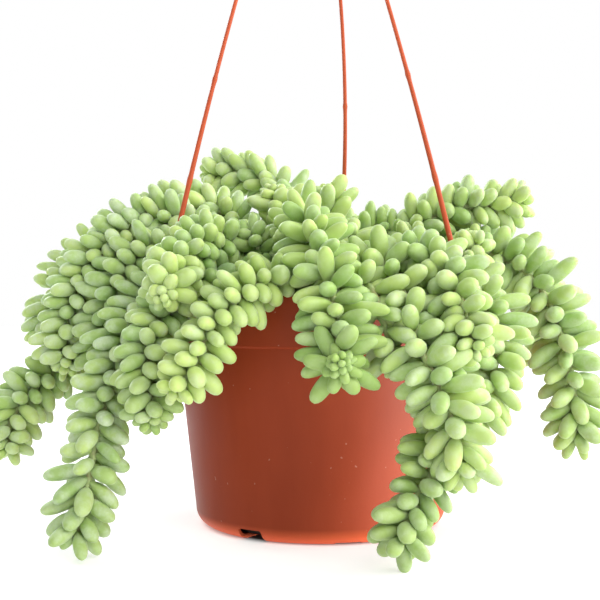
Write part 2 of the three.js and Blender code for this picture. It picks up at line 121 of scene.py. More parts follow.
SHOOTS = {
    "front_centre": shoot((-8, -16), (18.2, 7.5), 84, 0.78, [
        (-9, -26, 130), (-8, -45, 151), (-3, -68, 138), (1, -84, 124), (5, -95, 110), (6, -102, 95),
        (6, -109, 85.5), (6, -119, 89),
    ], bud=0.27, opening=9, young=10, tight=1.9, bloom=0.2, dark=0.55),
    "front_left": shoot((-14, -40), (14.8, 7.8), 62, 0.77, [
        (-15, -50, 119), (-18, -62, 124), (-28, -77, 122), (-38, -88, 114), (-47, -95, 105),
        (-52, -100, 95), (-57, -104, 84), (-64, -106, 75),
    ], bud=0.42, opening=20, bare=(0, 36), bloom=0.25, deep=0.3, light=0.6),
    "left_front": shoot((-40, -34), (14.8, 8), 60, 0.75, [
        (-46, -42, 124), (-55, -56, 123), (-69, -70, 110), (-77, -78, 98), (-78, -84, 85), (-76, -88, 72),
        (-76, -90, 60),
    ], bud=0.4, opening=26, deep=1, dark=0.35),
    "left_rosette": shoot((-28, -12), (13.8, 7.8), 64, 0.8, [
        (-32, -20, 130), (-48, -38, 143), (-58, -52, 142), (-65, -66, 133), (-68, -80, 123),
        (-70, -92, 115),
    ], bud=0.36, opening=12, bare=(0, 22), bloom=0.3, deep=1),
    "left_arch": shoot((-44, -4), (15.4, 8), 66, 0.8, [
        (-52, -5, 132), (-70, -6, 154), (-87, -8, 155), (-104, -15, 145), (-116, -22, 130),
        (-123, -28, 112), (-125, -32, 94), (-124, -35, 81),
    ], bud=0.4, opening=26, bloom=0.65, deep=0.1),
    "left_middle": shoot((-56, -8), (15.4, 8), 66, 0.75, [
        (-66, -14, 130), (-80, -23, 139), (-93, -32, 132), (-101, -38, 116), (-105, -40, 98),
        (-106, -42, 84),
    ], bloom=0.7, deep=1, dark=0.5),
    "left_outer": shoot((-64, 3), (15.9, 7.4), 70, 0.75, [
        (-72, 6, 132), (-92, 12, 146), (-114, 16, 144), (-132, 14, 130), (-141, 10, 112), (-144, 6, 96),
    ], bloom=0.75, deep=0.1),
    "left_low": shoot((-58, 14), (15.6, 7.8), 70, 0.82, [
        (-66, 14, 122), (-82, 12, 124), (-100, 8, 113), (-116, 2, 97), (-129, -8, 82), (-142, -16, 71),
        (-150, -22, 62), (-154, -27, 52), (-154, -30, 40),
    ], bloom=0.6),
    "left_trailer": shoot((-52, -22), (17.5, 8.2), 62, 0.64, [
        (-60, -28, 124), (-76, -38, 122), (-88, -50, 107), (-94, -58, 91), (-98, -66, 73), (-102, -73, 55),
        (-104, -78, 38), (-107, -82, 22), (-109, -86, 9),
    ], bloom=0.85, dark=0.4),
    "back_left_top": shoot((-14, 32), (15.9, 8), 62, 0.7, [
        (-14, 38, 140), (-17, 46, 172), (-32, 55, 182), (-47, 62, 187), (-64, 66, 184),
    ], bud=0.4, opening=26, bloom=0.6, deep=0.2),
    "left_top": shoot((-30, 14), (15.4, 8), 64, 0.75, [
        (-34, 15, 134), (-45, 13, 155), (-61, 14, 163), (-76, 16, 163), (-91, 18, 159),
    ], bud=0.4, opening=26, bloom=0.55, deep=0.3),
    "crown_left": shoot((-10, 4), (16.4, 8), 40, 0.68, [
        (-12, 4, 132), (-19, 0, 158), (-24, 2, 172),
    ], bud=0.28, opening=20, bloom=0.3, deep=0.1),
    "crown_right": shoot((6, -2), (19.1, 8.9), 42, 0.56, [
        (5, -2, 132), (2, -6, 154), (1, -3, 170),
    ], bud=0.28, opening=20, bloom=0.3, deep=0.2),
    "right_back_arch": shoot((18, 10), (14, 7.3), 65, 0.81, [
        (19, 10, 130), (23, 12, 147), (42, 20, 151), (61, 36, 147), (75, 52, 136), (82, 62, 112),
        (84, 68, 84), (84, 70, 56),
    ], deep=0.2),
    "right_rosette": shoot((28, -28), (16, 8.2), 62, 0.56, [
        (34, -34, 128), (43, -44, 135), (53, -58, 132), (58, -72, 123), (61, -84, 112), (63, -92, 101),
        (66, -98, 93),
    ], bud=0.4, opening=20, bare=(0, 20), deep=0.3),
    "front_right": shoot((20, -36), (17.6, 8.3), 74, 0.7, [
        (22, -42, 122), (27, -54, 130), (34, -69, 122), (38, -82, 110), (40, -92, 98), (43, -98, 89),
        (47, -102, 80), (51, -105, 70), (55, -107, 57), (57, -108, 42),
    ], bare=(40, 98)),
    "front_right_low": shoot((40, -26), (16.4, 8.1), 76, 0.66, [
        (46, -38, 122), (51, -58, 124), (52, -74, 108), (53, -82, 92), (54, -86, 75), (53, -88, 59),
        (49, -91, 47), (42, -96, 34), (36, -102, 23), (31, -107, 12),
    ], bud=0.78, bare=(15, 70), bloom=0.5, dark=0.45),
    "right_trailer": shoot((50, -8), (17.5, 8.2), 78, 0.62, [
        (60, -18, 124), (73, -30, 123), (82, -42, 107), (83, -50, 93), (80, -56, 80), (74, -62, 68),
        (66, -66, 57),
    ], bare=(0, 45)),
    "right_top": shoot((30, 16), (16.2, 8), 64, 0.75, [
        (40, 14, 138), (59, 10, 157), (75, 10, 163), (90, 10, 164), (106, 10, 166),
    ], opening=26, deep=0.2),
    "right_arch": shoot((56, 8), (20, 8.6), 82, 0.68, [
        (68, 8, 130), (84, 4, 138), (100, 0, 133), (113, -5, 120), (120, -8, 104), (126, -10, 85),
        (129, -12, 64), (130, -12, 44),
    ], deep=0.1, dark=0.3),
    "right_small": shoot((44, -6), (13.2, 7.4), 58, 0.75, [
        (53, -10, 127), (70, -16, 133), (79, -24, 142),
    ], bud=0.62, opening=20, young=5, deep=0.1),
    "right_back": shoot((48, 30), (15.1, 7.5), 66, 0.81, [
        (60, 35, 132), (82, 38, 141), (102, 42, 141), (117, 47, 131), (125, 51, 115), (128, 52, 98),
        (128, 52, 80),
    ], deep=0.1),
    "front_rim": shoot((6, -46), (16.4, 8.2), 66, 0.38, [
        (11, -57, 120), (21, -74, 120), (25, -85, 107), (29, -88, 95), (32, -90, 83),
    ], bud=0.28, opening=20, deep=0.2),
    "inner_left": shoot((-20, -20), (14.8, 7.8), 58, 0.48, [
        (-26, -27, 126), (-35, -34, 148),
    ], opening=20, deep=1),
    "crown_front": shoot((8, -22), (16.4, 8.2), 60, 0.48, [
        (11, -26, 128), (16, -28, 148),
    ], opening=20, deep=0.2),
    "crown_back": shoot((-8, 20), (14, 7.5), 56, 0.81, [
        (-7, 20, 130), (-4, 18, 156),
    ], bud=0.5, opening=20, deep=1),
    "inner_right": shoot((38, 2), (15.9, 8.2), 60, 0.5, [
        (42, 0, 128), (50, -2, 146),
    ], opening=20, deep=0.2),
    "back_centre": shoot((-4, 48), (15.1, 7.7), 66, 0.81, [
        (-8, 62, 136), (-12, 82, 134), (-15, 99, 110), (-16, 106, 78), (-16, 108, 46),
    ]),
    "back_left_trailer": shoot((-30, 40), (16.1, 7.9), 66, 0.77, [
        (-36, 52, 136), (-45, 70, 134), (-52, 86, 110), (-55, 93, 80), (-56, 97, 50), (-57, 99, 22),
    ]),
    "left_back": shoot((-52, 30), (15.1, 7.7), 66, 0.81, [
        (-64, 36, 132), (-86, 46, 132), (-103, 54, 110), (-110, 58, 80), (-113, 60, 52),
    ], bloom=0.7),
    "back_right_trailer": shoot((28, 42), (16.1, 7.9), 66, 0.77, [
        (38, 56, 134), (50, 74, 130), (60, 90, 106), (65, 97, 72), (67, 100, 40), (68, 101, 16),
    ]),
    "back_top": shoot((6, 26), (14, 7.5), 60, 0.81, [
        (7, 30, 134), (12, 40, 148), (24, 55, 152), (36, 72, 146),
    ], bud=0.28, opening=20, deep=0.2),
}

# How leaves grow

LEAF_SEED = 400
GOLDEN_ANGLE = math.radians(137.508)  # round the stem from one leaf to the next
TURN_SCATTER = 0.28  # how uneven that angle is, in radians
TIP_GAP = 0.4  # from the tip to the first leaf
BUD_CROWDING = 1.3  # how much closer small leaves grow than their size alone would have it
BARE_GAP = 2.6  # times further apart that leaves are on a bare stretch of stem
BUD_ANGLE = 16  # degrees that the leaf at the very tip stands off the stem
ANGLE_SCATTER = 12  # how uneven the angle off the stem is, in degrees
LENGTH_SCATTER = 0.12  # how uneven the leaves' lengths and widths are, as shares of them
WIDTH_SCATTER = 0.07
BEND = 0.07  # how far a leaf bends towards the tip, as a share of its length
BEND_SCATTER = 0.05
BLOOM_SCATTER = 0.12
OLD_STEM = 14  # length above the soil where leaves are small
OLD_SIZE = 0.82
LEAFLESS = 4  # bare stem above the soil
AGE_STEM = 70  # length of stem below a tip over which leaves grow old
SOIL_SHADE_STEM = 65  # length above the soil over which leaves get a deeper green, partly their age and partly painted shade
STEM_RADIUS = 1.5
TIP_RADIUS = 0.7
TIP_TAPER = 7  # length over which a stem gets thinner towards its tip
STEM_STEP = 2
STEM_SIDES = 10
LEAF_SIDES = 12
LEAF_RINGS = 10
LEAF_FLATNESS = 0.86  # a leaf's thickness over its width
LEAF_LOOKS = ("tone", "age", "seed", "bloom", "deep_green_and_shade")  # what its material reads of a leaf

# How leaves make room for each other

SPOTS = np.array([0.3, 0.58, 0.86])  # along a leaf, the balls that stand for it
SPOT_SIZE = np.array([0.86, 0.94, 0.62])  # their radii, as shares of half its width
ROUNDS = 40
ROUNDS_BETWEEN_LOOKS = 5  # rounds for which one search for neighbours serves
LOOK_MARGIN = 2.5
STIFFNESS = 0.045  # how strongly a leaf turns back to where it grew
YIELD = 0.35  # how far it turns in a round, as a share of what would free it
MOST_TURN = 0.25  # in a round, in radians
CLEARANCE = 1.2  # between leaves and what the plant stands on
CROWDED = 1.05  # overlap, as a share of the smaller ball's radius, at which a leaf is dropped
STUCK = 0.9  # the same for a leaf in the pot, the soil or the floor
BUD_AGE = 0.2  # leaves younger than this may crowd those of their own shoot


# Curves


def catmull_rom(points, samples=24):
    """Points along the centripetal Catmull-Rom curve through the given ones."""
    points = np.array(points, float)
    first = 2 * points[0] - points[1]
    last = 2 * points[-1] - points[-2]
    padded = np.vstack([first, points, last])
    steps = np.linalg.norm(np.diff(padded, axis=0), axis=1) ** 0.5
    t = np.linspace(0, 1, samples, endpoint=False)[:, None]
    curve = []
    for i in range(1, len(padded) - 2):
        x0, x1, x2, x3 = padded[i - 1 : i + 3]
        d0, d1, d2 = steps[i - 1 : i + 2]
        leave = d1 * ((x1 - x0) / d0 - (x2 - x0) / (d0 + d1) + (x2 - x1) / d1)
        arrive = d1 * ((x2 - x1) / d1 - (x3 - x1) / (d1 + d2) + (x3 - x2) / d2)
        square = 3 * (x2 - x1) - 2 * leave - arrive
        cube = 2 * (x1 - x2) + leave + arrive
        curve.append(x1 + leave * t + square * t**2 + cube * t**3)
    curve.append(padded[-2:-1])
    return np.vstack(curve)


def distances(points):
    """How far along a polyline each of its points is."""
    return np.concatenate([[0], np.cumsum(np.linalg.norm(np.diff(points, axis=0), axis=1))])


def at(points, along, where):
    """Points at the given distances along a polyline."""
    return np.stack([np.interp(where, along, points[:, k]) for k in range(3)], axis=-1)


def unit(vectors):
    return vectors / np.maximum(np.linalg.norm(vectors, axis=-1, keepdims=True), 1e-9)


def frames(points):
    """Tangents and two normals at each point of a polyline, turning as little as they can."""
    tangents = unit(np.gradient(points, axis=0))
    across = np.cross(tangents[0], (0, 1, 0))
    if np.linalg.norm(across) < 0.1:
        across = np.cross(tangents[0], (1, 0, 0))
    firsts = []
    for tangent in tangents:
        across = across - tangent * np.dot(across, tangent)
        across = across / np.linalg.norm(across)
        firsts.append(across)
    firsts = np.array(firsts)
    return tangents, firsts, np.cross(tangents, firsts)


def compass(degrees, radius, height):
    """A point at an angle clockwise from the back, as seen from above."""
    angle = math.radians(degrees)
    return np.array([radius * math.sin(angle), radius * math.cos(angle), height])


def smoothstep(x):
    x = np.clip(x, 0, 1)
    return x * x * (3 - 2 * x)


# Meshes


def add_mesh(name, vertices, faces, material_index=None, attributes=None):
    """A smooth-shaded object from vertices in millimetres, with point attributes."""
    mesh = bpy.data.meshes.new(name)
    mesh.from_pydata((np.asarray(vertices, float) * MM).tolist(), [], faces)
    mesh.polygons.foreach_set("use_smooth", [True] * len(mesh.polygons))
    if material_index is not None:
        mesh.polygons.foreach_set("material_index", material_index)
    for key, values in (attributes or {}).items():
        attribute = mesh.attributes.new(key, "FLOAT", "POINT")
        attribute.data.foreach_set("value", values.astype(np.float32))
    mesh.update()
    obj = bpy.data.objects.new(name, mesh)
    bpy.context.scene.collection.objects.link(obj)
    return obj


def tube(points, radii, sides):
    """Vertices and faces of a closed tube."""
    _, first, second = frames(points)
    angles = np.linspace(0, 2 * math.pi, sides, endpoint=False)
    ring = first[:, None] * np.cos(angles)[:, None] + second[:, None] * np.sin(angles)[:, None]
    vertices = points[:, None] + ring * np.asarray(radii, float)[:, None, None]
    vertices = np.vstack([vertices.reshape(-1, 3), points[:1], points[-1:]])
    return vertices, grid_faces(len(points), sides) + fan_faces(len(points), sides)


def grid_faces(rows, sides):
    """Quads of a grid that closes on itself across its rows."""
    pairs = [(i * sides, (i + 1) * sides) for i in range(rows - 1)]
    around = [(j, (j + 1) % sides) for j in range(sides)]
    return [(low + j, low + k, high + k, high + j) for low, high in pairs for j, k in around]


def fan_faces(rows, sides):
    """Triangles that close such a grid's two ends onto the two points that follow it."""
    start = rows * sides
    last = start - sides
    faces = []
    for j in range(sides):
        after = (j + 1) % sides
        faces += [(start, after, j), (start + 1, last + j, last + after)]
    return faces


def turned(outline, sides):
    """Vertices and faces of a body of revolution, whose outline starts and ends on the axis."""
    outline = np.array(outline, float)
    angles = np.linspace(0, 2 * math.pi, sides, endpoint=False)
    inner = outline[1:-1]
    across = inner[:, :1]
    up = np.repeat(inner[:, 1:], sides, axis=1)
    rings = np.stack([across * np.cos(angles), across * np.sin(angles), up], axis=-1)
    poles = [(0, 0, outline[0, 1]), (0, 0, outline[-1, 1])]
    faces = grid_faces(len(inner), sides) + fan_faces(len(inner), sides)
    return np.vstack([rings.reshape(-1, 3), poles]), faces


def arc(x, y, radius, start, stop, steps):
    """Points on an arc, with its angles in degrees from straight out, anticlockwise."""
    angles = np.radians(np.linspace(start, stop, steps + 1))
    return [(x + radius * math.cos(a), y + radius * math.sin(a)) for a in angles]


def circle(x, y, radius, sides):
    return arc(x, y, radius, 0, 360 - 360 / sides, sides - 1)


def combine(obj, others, operation):
    """Joins other solids into obj, or cuts them out of it, and throws them away."""
    for other in others:
        modifier = obj.modifiers.new("combine", "BOOLEAN")
        modifier.operation = operation
        modifier.object = other
        modifier.solver = "EXACT"
    bpy.context.view_layer.update()
    evaluated = obj.evaluated_get(bpy.context.evaluated_depsgraph_get())
    mesh = bpy.data.meshes.new_from_object(evaluated)
    obj.modifiers.clear()
    obj.data = mesh
    for other in others:
        bpy.data.objects.remove(other)
    return obj


def sharpen(obj, degrees):
    """Shades the edges that fold by more than an angle as sharp."""
    bm = bmesh.new()
    bm.from_mesh(obj.data)
    for edge in bm.edges:
        edge.smooth = len(edge.link_faces) == 2 and edge.calc_face_angle() < math.radians(degrees)
    for face in bm.faces:
        face.smooth = True
    bm.to_mesh(obj.data)
    bm.free()


def finish(piece, materials, node):
    """Gives a piece its materials, hangs it under the root body, and hides the CAD node it stands for."""
    for material in materials:
        piece.data.materials.append(material)
    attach(piece, "root")
    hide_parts(node)


# Leaves


def stem_line(shoot):
    """The shoot's stem from its root in the soil, as a polyline with its distances."""
    x, y = shoot["root"]
    curve = catmull_rom([(x, y, SOIL_TOP + 2), *shoot["path"]])
    along = distances(curve)
    even = np.linspace(0, along[-1], int(along[-1]) + 1)
    points = at(curve, along, even)
    return points, distances(points)


def leaf_places(shoot, total):
    """How far along the stem each leaf grows, and its size as a share of a grown one."""
    bud = shoot["bud"]
    from_bare, to_bare = shoot["bare"]
    where, sizes = [], []
    below_tip = TIP_GAP
    while total - below_tip > LEAFLESS:
        grown = float(smoothstep((below_tip - shoot["tight"]) / shoot["young"])) ** 0.8
        grown = bud + (1 - bud) * grown
        where.append(total - below_tip)
        sizes.append(grown)
        gap = grown**BUD_CROWDING / shoot["density"]
        if from_bare < total - below_tip < to_bare:
            gap *= BARE_GAP
        below_tip += gap
    return np.array(where), np.array(sizes)


def grow(index, shoot):
    """Where each leaf of a shoot grows: arrays of its base, direction, size and looks."""
    rng = np.random.default_rng(LEAF_SEED + index)
    points, along = stem_line(shoot)
    tangents, firsts, seconds = frames(points)
    total = along[-1]
    where, grown = leaf_places(shoot, total)
    count = len(where)
    aged = OLD_SIZE + (1 - OLD_SIZE) * smoothstep(where / OLD_STEM)
    turn = GOLDEN_ANGLE * np.arange(count) + rng.normal(0, TURN_SCATTER, count) + index
    base = at(points, along, where)
    tangent = unit(at(tangents, along, where))
    first, second = at(firsts, along, where), at(seconds, along, where)
    outward = unit(first * np.cos(turn)[:, None] + second * np.sin(turn)[:, None])
    opened = np.minimum((total - where) / shoot["opening"], 1) ** 0.7
    angle = BUD_ANGLE + (shoot["spread"] - BUD_ANGLE) * opened
    angle = np.radians(angle + rng.normal(0, ANGLE_SCATTER, count) * grown)
    direction = unit(tangent * np.cos(angle)[:, None] + outward * np.sin(angle)[:, None])
    long, wide = shoot["leaf"]
    length = long * grown * aged * rng.normal(1, LENGTH_SCATTER, count).clip(0.75, 1.25)
    width = wide * grown**0.62 * aged**0.6 * rng.normal(1, WIDTH_SCATTER, count).clip(0.82, 1.18)
    # Painted shade, with some real ageing near the soil: leaves low on the stem and at the tips of some
    # shoots get a deeper green.
    deep = shoot["deep"] * (1 - smoothstep(where / SOIL_SHADE_STEM))
    age = smoothstep((total - where) / AGE_STEM)
    return {
        "shoot": np.full(count, index),
        "base": base + outward * STEM_RADIUS * 0.5,
        "home": direction,
        "direction": direction.copy(),
        "tangent": tangent,
        "length": length,
        "width": width,
        "age": age,
        "tone": shoot["light"] + (1 - shoot["light"]) * rng.random(count),
        "bend": rng.normal(BEND, BEND_SCATTER, count),
        "seed": rng.random(count),
        "bloom": shoot["bloom"] + rng.normal(0, BLOOM_SCATTER, count),
        "deep_green_and_shade": np.maximum(deep, shoot["dark"] * (1 - age)),
    }


def strand_line(angle, sideways, samples=100):
    """A strand's centre line from just above its lug to just under the hub, bowed outwards."""
    lug = compass(angle, LUG_RADIUS, LUG_TOP + STRAND_STRAIGHT)
    hub = compass(angle, HUB_SPREAD, HUB_BOTTOM - STRAND_STRAIGHT) + (HUB_X, HUB_Y, 0)
    middle = (lug + hub) / 2 + compass(angle, 2 * STRAND_BOW, 0)
    middle = middle + compass(angle + 90, 2 * sideways, 0)
    t = np.linspace(0, 1, samples)[:, None]
    return (1 - t) ** 2 * lug + 2 * t * (1 - t) * middle + t**2 * hub


def push_off_pot(points, radii):
    """How far balls have to move to be off the pot, the soil and the floor."""
    distance = np.hypot(points[:, 0], points[:, 1])
    out = points * (1, 1, 0) / np.maximum(distance, 1e-6)[:, None]
    height = points[:, 2]
    levels = [0, FOOT_CORNER, BAND_HEIGHT, BAND_HEIGHT + 1, POT_HEIGHT]
    reach = [BASE_RADIUS, BASE_RADIUS + FOOT_CORNER, WALL_TOP_RADIUS, RIM_RADIUS, RIM_RADIUS]
    wall = np.interp(height, levels, reach)
    mouth = RIM_RADIUS - WALL
    top = np.where(distance > mouth - radii * 0.5, POT_HEIGHT, SOIL_TOP)
    sideways = wall + radii - distance
    upwards = top + radii - height
    inside = (sideways > 0) & (upwards > 0)
    go_out = inside & (sideways <= upwards)
    go_up = inside & ~go_out
    push = out * (sideways * go_out)[:, None]
    push[:, 2] += upwards * go_up
    push[:, 2] += np.maximum(radii + CLEARANCE - height, 0)
    return push


def hanger_balls():
    """Balls that stand for the strands and the lugs."""
    centres, radii = [], []
    for angle, sideways in STRANDS.values():
        line = strand_line(angle, sideways)
        centres.extend(line)
        radii.extend([STRAND_RADIUS + GAP] * len(line))
        centres.append(compass(angle, LUG_RADIUS - 2, LUG_TOP - 3))
        radii.append(LUG_HALF_WIDTH)
    return np.array(centres), np.array(radii)


def near_pairs(centres, radii, others, other_radii):
    """Index pairs of balls and other balls that touch or nearly touch."""
    tree = kdtree.KDTree(len(others))
    for i, centre in enumerate(others):
        tree.insert(centre, i)
    tree.balance()
    widest = other_radii.max()
    firsts, seconds = [], []
    for i, centre in enumerate(centres):
        for _, j, _ in tree.find_range(centre, radii[i] + widest + LOOK_MARGIN):
            firsts.append(i)
            seconds.append(j)
    return np.array(firsts, int), np.array(seconds, int)


def balls(leaves):
    """The balls that stand for leaves, and how far along its leaf each is."""
    arms = leaves["length"][:, None] * SPOTS
    centres = leaves["base"][:, None] + leaves["direction"][:, None] * arms[:, :, None]
    radii = leaves["width"][:, None] / 2 * SPOT_SIZE
    return centres.reshape(-1, 3), radii.reshape(-1), arms.reshape(-1)


def spread_out(leaves, rounds):
    """Turns leaves about their bases until they lie beside each other and not in each other."""
    fixed, fixed_radii = hanger_balls()
    stems = np.vstack([stem_line(shoot)[0][::2] for shoot in SHOOTS.values()])
    fixed = np.vstack([fixed, stems])
    fixed_radii = np.concatenate([fixed_radii, np.full(len(stems), STEM_RADIUS)])
    spots = len(SPOTS)
    for step in range(rounds):
        centres, radii, arms = balls(leaves)
        if step % ROUNDS_BETWEEN_LOOKS == 0:
            a, b = near_pairs(centres, radii, centres, radii)
            other_leaf = a // spots != b // spots
            a, b = a[other_leaf], b[other_leaf]
            c, d = near_pairs(centres, radii, fixed, fixed_radii)
        push = push_off_pot(centres, radii)
        pairs = [(a, b, centres, radii, 0.5), (c, d, fixed, fixed_radii, 1.0)]
        for i, j, where, sizes, share in pairs:
            apart = centres[i] - where[j]
            gap = np.linalg.norm(apart, axis=1)
            overlap = np.maximum(radii[i] + sizes[j] - gap, 0)
            move = apart / np.maximum(gap, 1e-6)[:, None] * (overlap * share)[:, None]
            for k in range(3):
                push[:, k] += np.bincount(i, move[:, k], len(push))
        turn = push / arms[:, None]
        turn = turn.reshape(-1, spots, 3).sum(1) * YIELD
        size = np.linalg.norm(turn, axis=1, keepdims=True)
        turn *= np.minimum(1, MOST_TURN / np.maximum(size, 1e-9))
        turned_leaf = leaves["direction"] + turn
        turned_leaf += (leaves["home"] - leaves["direction"]) * STIFFNESS
        leaves["direction"] = unit(turned_leaf)


def thin_out(leaves):
    """Drops the leaves that found no room."""
    centres, radii, _ = balls(leaves)
    spots = len(SPOTS)
    a, b = near_pairs(centres, radii, centres, radii)
    later = a // spots < b // spots
    a, b = a[later], b[later]
    gap = np.linalg.norm(centres[a] - centres[b], axis=1)
    overlap = (radii[a] + radii[b] - gap) / np.minimum(radii[a], radii[b])
    dropped = np.zeros(len(leaves["length"]), bool)
    for k in np.argsort(-overlap):
        if overlap[k] < CROWDED:
            break
        one, other = a[k] // spots, b[k] // spots
        if dropped[one] or dropped[other]:
            continue
        small = leaves["length"][one] < leaves["length"][other]
        same = leaves["shoot"][one] == leaves["shoot"][other]
        if same and leaves["age"][one] < BUD_AGE:
            continue
        dropped[one if small else other] = True
    stuck = np.linalg.norm(push_off_pot(centres, radii), axis=1) > radii * STUCK
    dropped |= stuck.reshape(-1, spots).any(1)
    return {key: values[~dropped] for key, values in leaves.items()}


def leaf_template():
    """Rings of a leaf along its axis, as fractions of its length and half-width."""
    along = (1 - np.cos(math.pi * np.arange(1, LEAF_RINGS + 1) / (LEAF_RINGS + 1))) / 2
    swell = (1 - np.abs(2 * along**1.04 - 1) ** 2.7) ** 0.46
    neck = 0.74 + 0.26 * smoothstep(along / 0.5)
    return along, swell * neck


def leaf_mesh(leaves):
    """Vertices, faces and attributes of all the leaves given."""
    along, swell = leaf_template()
    count = len(leaves["length"])
    angles = np.linspace(0, 2 * math.pi, LEAF_SIDES, endpoint=False)
    axis = leaves["direction"]
    up = unit(leaves["tangent"] - axis * (leaves["tangent"] * axis).sum(1, keepdims=True))
    side = np.cross(axis, up)
    half = leaves["width"] / 2
    bend = leaves["length"] * leaves["bend"]

    def middle(t):
        lift = bend[:, None] * np.asarray(t) ** 2
        forward = leaves["length"][:, None] * np.asarray(t)
        straight = leaves["base"][:, None] + axis[:, None] * forward[:, :, None]
        return straight + up[:, None] * lift[:, :, None]

    radius = half[:, None, None] * swell[None, :, None]
    sideways = radius * np.cos(angles)
    upwards = radius * np.sin(angles) * LEAF_FLATNESS
    body = middle(along)[:, :, None] + side[:, None, None] * sideways[..., None]
    body = body + up[:, None, None] * upwards[..., None]
    ends = middle([0.0, 1.0])
    vertices = np.concatenate([body.reshape(count, -1, 3), ends], axis=1)
    per_leaf = vertices.shape[1]
    quads = np.array(grid_faces(LEAF_RINGS, LEAF_SIDES))
    caps = np.array(fan_faces(LEAF_RINGS, LEAF_SIDES))
    offsets = (np.arange(count) * per_leaf)[:, None, None]
    faces = (quads[None] + offsets).reshape(-1, 4).tolist()
    faces += (caps[None] + offsets).reshape(-1, 3).tolist()
    position = np.concatenate([np.repeat(along, LEAF_SIDES), [0, 1]])
    attributes = {"along": np.tile(position, count)}
    for key in LEAF_LOOKS:
        attributes[key] = np.repeat(leaves[key], per_leaf)
    return vertices.reshape(-1, 3), faces, attributes


def stem_mesh(shoot):
    """The stem from its plug in the soil to its tip, slightly swollen between leaves."""
    points, along = stem_line(shoot)
    x, y = shoot["root"]
    plug = [(x, y, SOIL_TOP - ROOT_DEPTH), (x, y, SOIL_TOP)]
    even = np.arange(0, along[-1], STEM_STEP)
    line = np.vstack([*plug, at(points, along, even), points[-1:]])
    where = distances(line)
    taper = smoothstep((where - where[-1] + TIP_TAPER) / TIP_TAPER)
    radii = STEM_RADIUS + (TIP_RADIUS - STEM_RADIUS) * taper
    radii = radii * (1 + 0.06 * np.sin(where * 1.9))
    return tube(line, radii, STEM_SIDES)


def add_shoot(index, name, shoot, leaves, materials):
    """One shoot's stem and leaves as one piece."""
    mine = leaves["shoot"] == index
    own = {key: values[mine] for key, values in leaves.items()}
    stem, stem_faces = stem_mesh(shoot)
    vertices, faces, attributes = leaf_mesh(own)
    offset = len(stem)
    faces = stem_faces + [tuple(v + offset for v in face) for face in faces]
    attributes = {key: np.append([0.5] * offset, values) for key, values in attributes.items()}
    kinds = [1] * len(stem_faces) + [0] * (len(faces) - len(stem_faces))
    tail = add_mesh("tail_" + name, np.vstack([stem, vertices]), faces, kinds, attributes)
    finish(tail, materials, "shoot_" + name)


def add_shoots(materials):
    """Grows all the shoots together, so that their leaves make room for each other."""
    grown = [grow(i, shoot) for i, shoot in enumerate(SHOOTS.values())]
    leaves = {key: np.concatenate([one[key] for one in grown]) for key in grown[0]}
    spread_out(leaves, ROUNDS)
    leaves = thin_out(leaves)
    spread_out(leaves, ROUNDS // 2)
    for index, (name, shoot) in enumerate(SHOOTS.items()):
        add_shoot(index, name, shoot, leaves, materials)


# Pot

POT_SIDES = 160
LIP = 0.8  # radius of the rim's rounded top edge
BAND_STEP = 0.9  # height over which the wall steps out to the rim band


def pot_outline():
    """Half a section of the pot, from the axis up the outside and down the inside."""
    corner = FOOT_CORNER
    inner = corner - WALL
    inside_top = WALL_TOP_RADIUS - WALL
    return [
        (0, 0),
        *arc(BASE_RADIUS, corner, corner, -90, 0, 10),
        (WALL_TOP_RADIUS - 0.1, BAND_HEIGHT - 1.5),
        (WALL_TOP_RADIUS, BAND_HEIGHT - 0.3),
        (RIM_RADIUS - 0.1, BAND_HEIGHT + BAND_STEP - 0.3),
        (RIM_RADIUS, BAND_HEIGHT + BAND_STEP),
        (RIM_RADIUS, POT_HEIGHT - LIP - 0.4),
        *arc(RIM_RADIUS - LIP, POT_HEIGHT - LIP, LIP, 0, 180, 8),
        (RIM_RADIUS - WALL, BAND_HEIGHT + 2 * WALL),
        (inside_top, BAND_HEIGHT),
        *arc(BASE_RADIUS, corner, inner, 0, -70, 8),
        (BASE_RADIUS, FLOOR),
        (0, FLOOR),
    ]


def prism(outline, bottom, top):
    """Vertices and faces of a solid with the same outline at every height."""
    count = len(outline)
    vertices = [(x, y, z) for z in (bottom, top) for x, y in outline]
    sides = [(j, (j + 1) % count, count + (j + 1) % count, count + j) for j in range(count)]
    return vertices, [list(range(count))[::-1], [count + j for j in range(count)], *sides]


def turned_about_z(vertices, degrees):
    """Vertices turned clockwise, as seen from above."""
    angle = math.radians(degrees)
    cos, sin = math.cos(angle), math.sin(angle)
    return [(x * cos + y * sin, y * cos - x * sin, z) for x, y, z in vertices]


def upright_prism(name, outline, bottom, top, degrees=0):
    vertices, faces = prism(outline, bottom, top)
    return add_mesh(name, turned_about_z(vertices, degrees), faces)


def notch_solid(degrees, height):
    """A cut through the pot's foot, with rounded upper corners."""
    half = NOTCH_WIDTH / 2
    corner = height / 5
    outline = [
        (half, -height),
        *arc(half - corner, height - corner, corner, 0, 90, 4),
        *arc(-half + corner, height - corner, corner, 90, 180, 4),
        (-half, -height),
    ]
    flat, faces = prism(outline, NOTCH_INNER_RADIUS, BASE_RADIUS + 2 * FOOT_CORNER)
    upright = [(x, depth, level) for x, level, depth in flat]
    flipped = [face[::-1] for face in faces]
    return add_mesh("notch", turned_about_z(upright, degrees), flipped)


def lug_solid(degrees):
    """The plate that a strand clips into."""
    start = RIM_RADIUS - WALL / 2
    end = arc(0, LUG_RADIUS, LUG_HALF_WIDTH, 0, 180, 16)
    outline = [(LUG_HALF_WIDTH, start), *end, (-LUG_HALF_WIDTH, start)]
    return upright_prism("lug", outline, LUG_TOP - LUG_THICKNESS, LUG_TOP, degrees)


